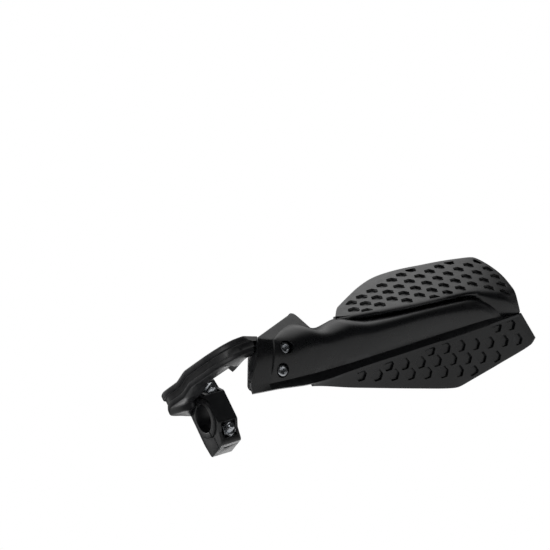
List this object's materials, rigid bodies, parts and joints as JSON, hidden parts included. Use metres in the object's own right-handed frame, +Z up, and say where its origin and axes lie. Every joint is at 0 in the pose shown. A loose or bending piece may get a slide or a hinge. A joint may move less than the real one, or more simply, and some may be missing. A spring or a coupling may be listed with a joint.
{
  "type": "motorcycle hand guard",
  "caption": "Left hand guard for a motorcycle: a dished plastic shell with recessed hexagon fields on a curved bracket arm that clamps round the handlebar.",
  "frame": {"origin": "centre of the handlebar clamp's bore, at the middle of the clamp's width", "axes": "+X runs outboard along the handlebar towards the shell's tip, -Y faces the road ahead, +Z is up"},
  "size_m": [0.2816, 0.1302, 0.1131],
  "materials": {
    "shell_plastic": "moulded black plastic with a soft satin sheen",
    "bracket_plastic": "glass-filled black plastic, satin",
    "bolt_steel": "zinc-plated steel"
  },
  "bodies": {
    "root": {"shell": "shell_plastic", "bracket_arm": "bracket_plastic", "clamp_cap": "bracket_plastic", "clamp_bolt_upper": "bolt_steel", "clamp_bolt_lower": "bolt_steel", "clamp_nut_upper": "bolt_steel", "clamp_nut_lower": "bolt_steel", "shell_screw_upper": "bolt_steel", "shell_screw_lower": "bolt_steel", "shell_nut_upper": "bolt_steel", "shell_nut_lower": "bolt_steel"}
  },
  "joints": []
}
